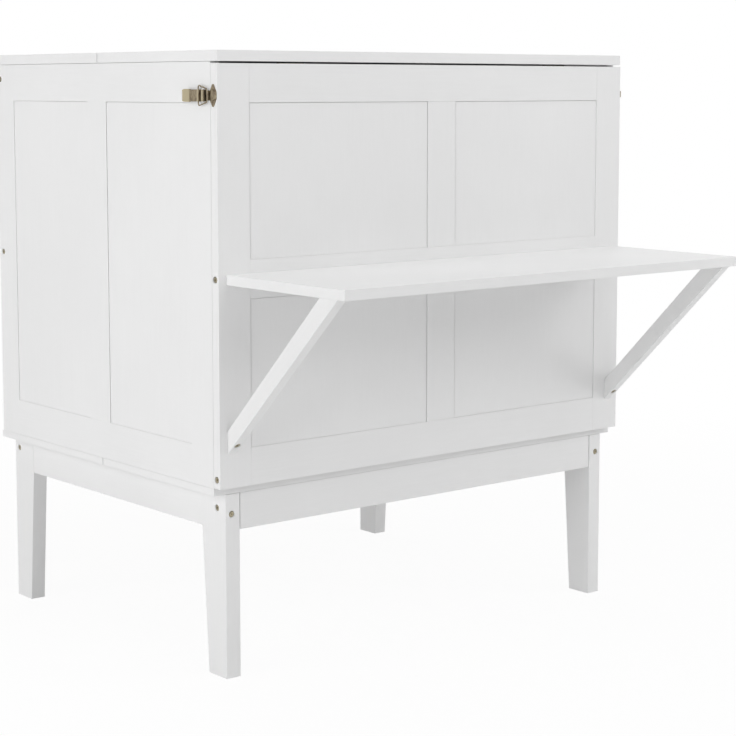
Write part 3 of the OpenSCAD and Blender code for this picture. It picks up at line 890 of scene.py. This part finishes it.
def boards() -> list[EasedParts]:
    """Lists the painted and plywood boards by the body that carries them.

    Returns:
        Groups of boards that are eased alike.
    """
    across, deep, upright = Grain.ACROSS, Grain.DEEP, Grain.UPRIGHT
    sides = ("left", "right")
    legs = {f"leg_{end}_{side}": upright for end in ("front", "rear") for side in sides}
    aprons = {"apron_rear": across, "middle_beam": across}
    aprons |= {f"apron_{side}": deep for side in sides}
    bases = {"base_board_front": across, "base_board_rear": across}
    levels = ("top", "middle", "bottom")
    frames = {
        f"{side}_{place}_stile": upright
        for side in sides
        for place in ("front", "middle", "rear")
    }
    frames |= {
        f"{side}_{place}_rail": deep for side in sides for place in ("top", "bottom")
    }
    frames |= {f"back_{place}_rail": across for place in levels}
    panel = {f"panel_{side}_stile": upright for side in sides}
    panel |= {f"panel_{place}_rail": across for place in levels}
    panel |= {"panel_muntins": upright, "shelf_board": across}
    panel |= {f"brace_{side}": Grain.SLOPING for side in sides}
    side_margins = (0.1 * MM, 0.3 * MM, 0.1 * MM, 1.4 * MM)
    return [
        EasedParts("cabinet", Slot.PAINT, legs),
        EasedParts("cabinet", Slot.PAINT, aprons, shrink=0.25 * MM),
        EasedParts(
            "cabinet",
            Slot.PAINT,
            {"apron_front": across},
            shrink=0.25 * MM,
            shoulder=2.4 * MM,
        ),
        EasedParts("cabinet", Slot.PAINT, bases, shrink=0.35 * MM),
        EasedParts("cabinet", Slot.PAINT, frames, ease=0.12 * MM),
        Infills(
            "cabinet",
            Slot.PAINT,
            {"left_infills": upright},
            ease=0.3 * MM,
            outward=(-1, 0, 0),
            margins=side_margins,
        ),
        Infills(
            "cabinet",
            Slot.PAINT,
            {"right_infills": upright},
            ease=0.3 * MM,
            outward=(1, 0, 0),
            margins=side_margins,
        ),
        Infills("front_panel", Slot.PAINT, {"panel_infills": upright}, ease=0.4 * MM),
        EasedParts("cabinet", Slot.PLYWOOD, {"back_sheets": upright}, ease=0.3 * MM),
        EasedParts("cabinet", Slot.PAINT, {"lid_rear": across}, shrink=0.5 * MM),
        EasedParts("lid_front", Slot.PAINT, {"lid_front": across}, shrink=0.5 * MM),
        EasedParts("front_panel", Slot.PAINT, panel, ease=0.15 * MM, shrink=0.08 * MM),
        EasedParts("foot_section", Slot.PAINT, {"foot_board": across}),
        EasedParts("foot_section", Slot.PLYWOOD, {"foot_battens": across}),
        EasedParts("foot_leg_left", Slot.PAINT, {"foot_leg_left": across}),
        EasedParts("foot_leg_right", Slot.PAINT, {"foot_leg_right": across}),
    ]


def hardware() -> list[EasedParts]:
    """Lists the metal parts of the bed by the body that carries them.

    Returns:
        Groups of parts, each of one slot.
    """
    on_cabinet = ["lid_hinge_fixed_leaves", "panel_hinge_fixed_leaves"]
    on_cabinet += ["latch_base_left", "latch_base_right"]
    on_panel = ["panel_hinge_swing_leaves", "foot_hinge_fixed_leaves"]
    on_panel += ["latch_keeper_left", "latch_keeper_right"]
    groups = [
        ("cabinet", Slot.BRASS, on_cabinet),
        ("lid_front", Slot.BRASS, ["lid_hinge_swing_leaves"]),
        ("front_panel", Slot.BRASS, on_panel),
        ("foot_section", Slot.BRASS, ["foot_hinge_swing_leaves"]),
        ("foot_section", Slot.BOLT, ["foot_leg_pins"]),
        ("latch_lever_left", Slot.BRASS, ["latch_lever_left"]),
        ("latch_lever_right", Slot.BRASS, ["latch_lever_right"]),
        ("latch_bail_left", Slot.BRASS, ["latch_bail_left"]),
        ("latch_bail_right", Slot.BRASS, ["latch_bail_right"]),
        ("cabinet", Slot.BOLT, ["cabinet_bolts"]),
        ("front_panel", Slot.BOLT, ["panel_bolts"]),
    ]
    return [
        EasedParts(
            body,
            slot,
            {
                node: Grain.NONE if node.startswith("latch") else Grain.UPRIGHT
                for node in nodes
            },
            ease=0.25 * MM,
            shortest=0.0,
        )
        for body, slot, nodes in groups
    ]


@dataclass(frozen=True)
class HingePair:
    """A left and a right hinge: how far out they are, and the height of their pins.

    The height is in metres, "out" and the screws' pitch in millimetres.
    """

    out: float
    up: float
    pitch: float = 20

    def screws(
        self, back: float, up: float, facing: Vector
    ) -> list[tuple[Vector, Vector]]:
        """Sets three screws in one leaf of each hinge.

        Args:
            back: Where the row is from front to back.
            up: The height of the row.
            facing: The way that the heads face.

        Returns:
            Each screw's place and the way it faces.
        """
        return [
            (Vector((side * (self.out + along) * MM, back, up)), facing)
            for side in (-1, 1)
            for along in (-self.pitch, 0, self.pitch)
        ]


def screws() -> list[Screws]:
    """Lists the screws of the hinges and latches by the body that carries them.

    Returns:
        Groups of screws.
    """
    upward, inward, forward = Vector((0, 0, 1)), Vector((0, 1, 0)), Vector((0, -1, 0))
    reach = 13 * MM
    base_top = 365 * MM
    panel_face = FRONT + 20.5 * MM
    foot_face = FRONT + 21.5 * MM
    lid_pins = FRONT + 407.5 * MM
    fold_pins = FRONT + 21 * MM
    lid = HingePair(out=318.5, up=1166 * MM)
    fold = HingePair(out=372.5, up=365.5 * MM)
    foot = HingePair(out=342.5, up=1140.8 * MM)
    latch_plate = HALF_WIDTH + 1.5 * MM
    latch_height = 1084 * MM
    keeper_back, keeper_rise = 11.5, 13
    plate_backs = (44, 66)

    def beside(side: int, back: float, rise: float) -> tuple[Vector, Vector]:
        """Places a screw in a latch's plate, back and rise in millimetres."""
        at = (side * latch_plate, FRONT + back * MM, latch_height + rise * MM)
        return Vector(at), Vector((side, 0, 0))

    keepers = [
        beside(side, keeper_back, rise)
        for side in (-1, 1)
        for rise in (-keeper_rise, keeper_rise)
    ]
    plates = [beside(side, back, 0) for side in (-1, 1) for back in plate_backs]
    in_panel = fold.screws(panel_face, fold.up + reach, inward)
    in_panel += foot.screws(panel_face, foot.up - reach, inward)
    return [
        Screws(
            "lid_hinge_screws_rear",
            "cabinet",
            lid.screws(lid_pins + reach, lid.up, upward),
        ),
        Screws(
            "lid_hinge_screws_front",
            "lid_front",
            lid.screws(lid_pins - reach, lid.up, upward),
        ),
        Screws(
            "base_hinge_screws",
            "cabinet",
            fold.screws(fold_pins + reach, base_top, upward),
        ),
        Screws("panel_hinge_screws", "front_panel", in_panel),
        Screws(
            "foot_hinge_screws",
            "foot_section",
            foot.screws(foot_face, foot.up - reach, forward),
        ),
        Screws("latch_base_screws", "cabinet", plates, diameter=5 * MM),
        Screws("latch_keeper_screws", "front_panel", keepers, diameter=4.6 * MM),
    ]


def main() -> None:
    """Builds the bed's pieces in order, then the studio."""
    logging.basicConfig(level=logging.INFO, format="%(name)s %(message)s")
    finishes = Finishes()
    for group in boards() + hardware() + screws():
        group.build(finishes)
    Studio().build()


if __name__ == "__main__":
    main()
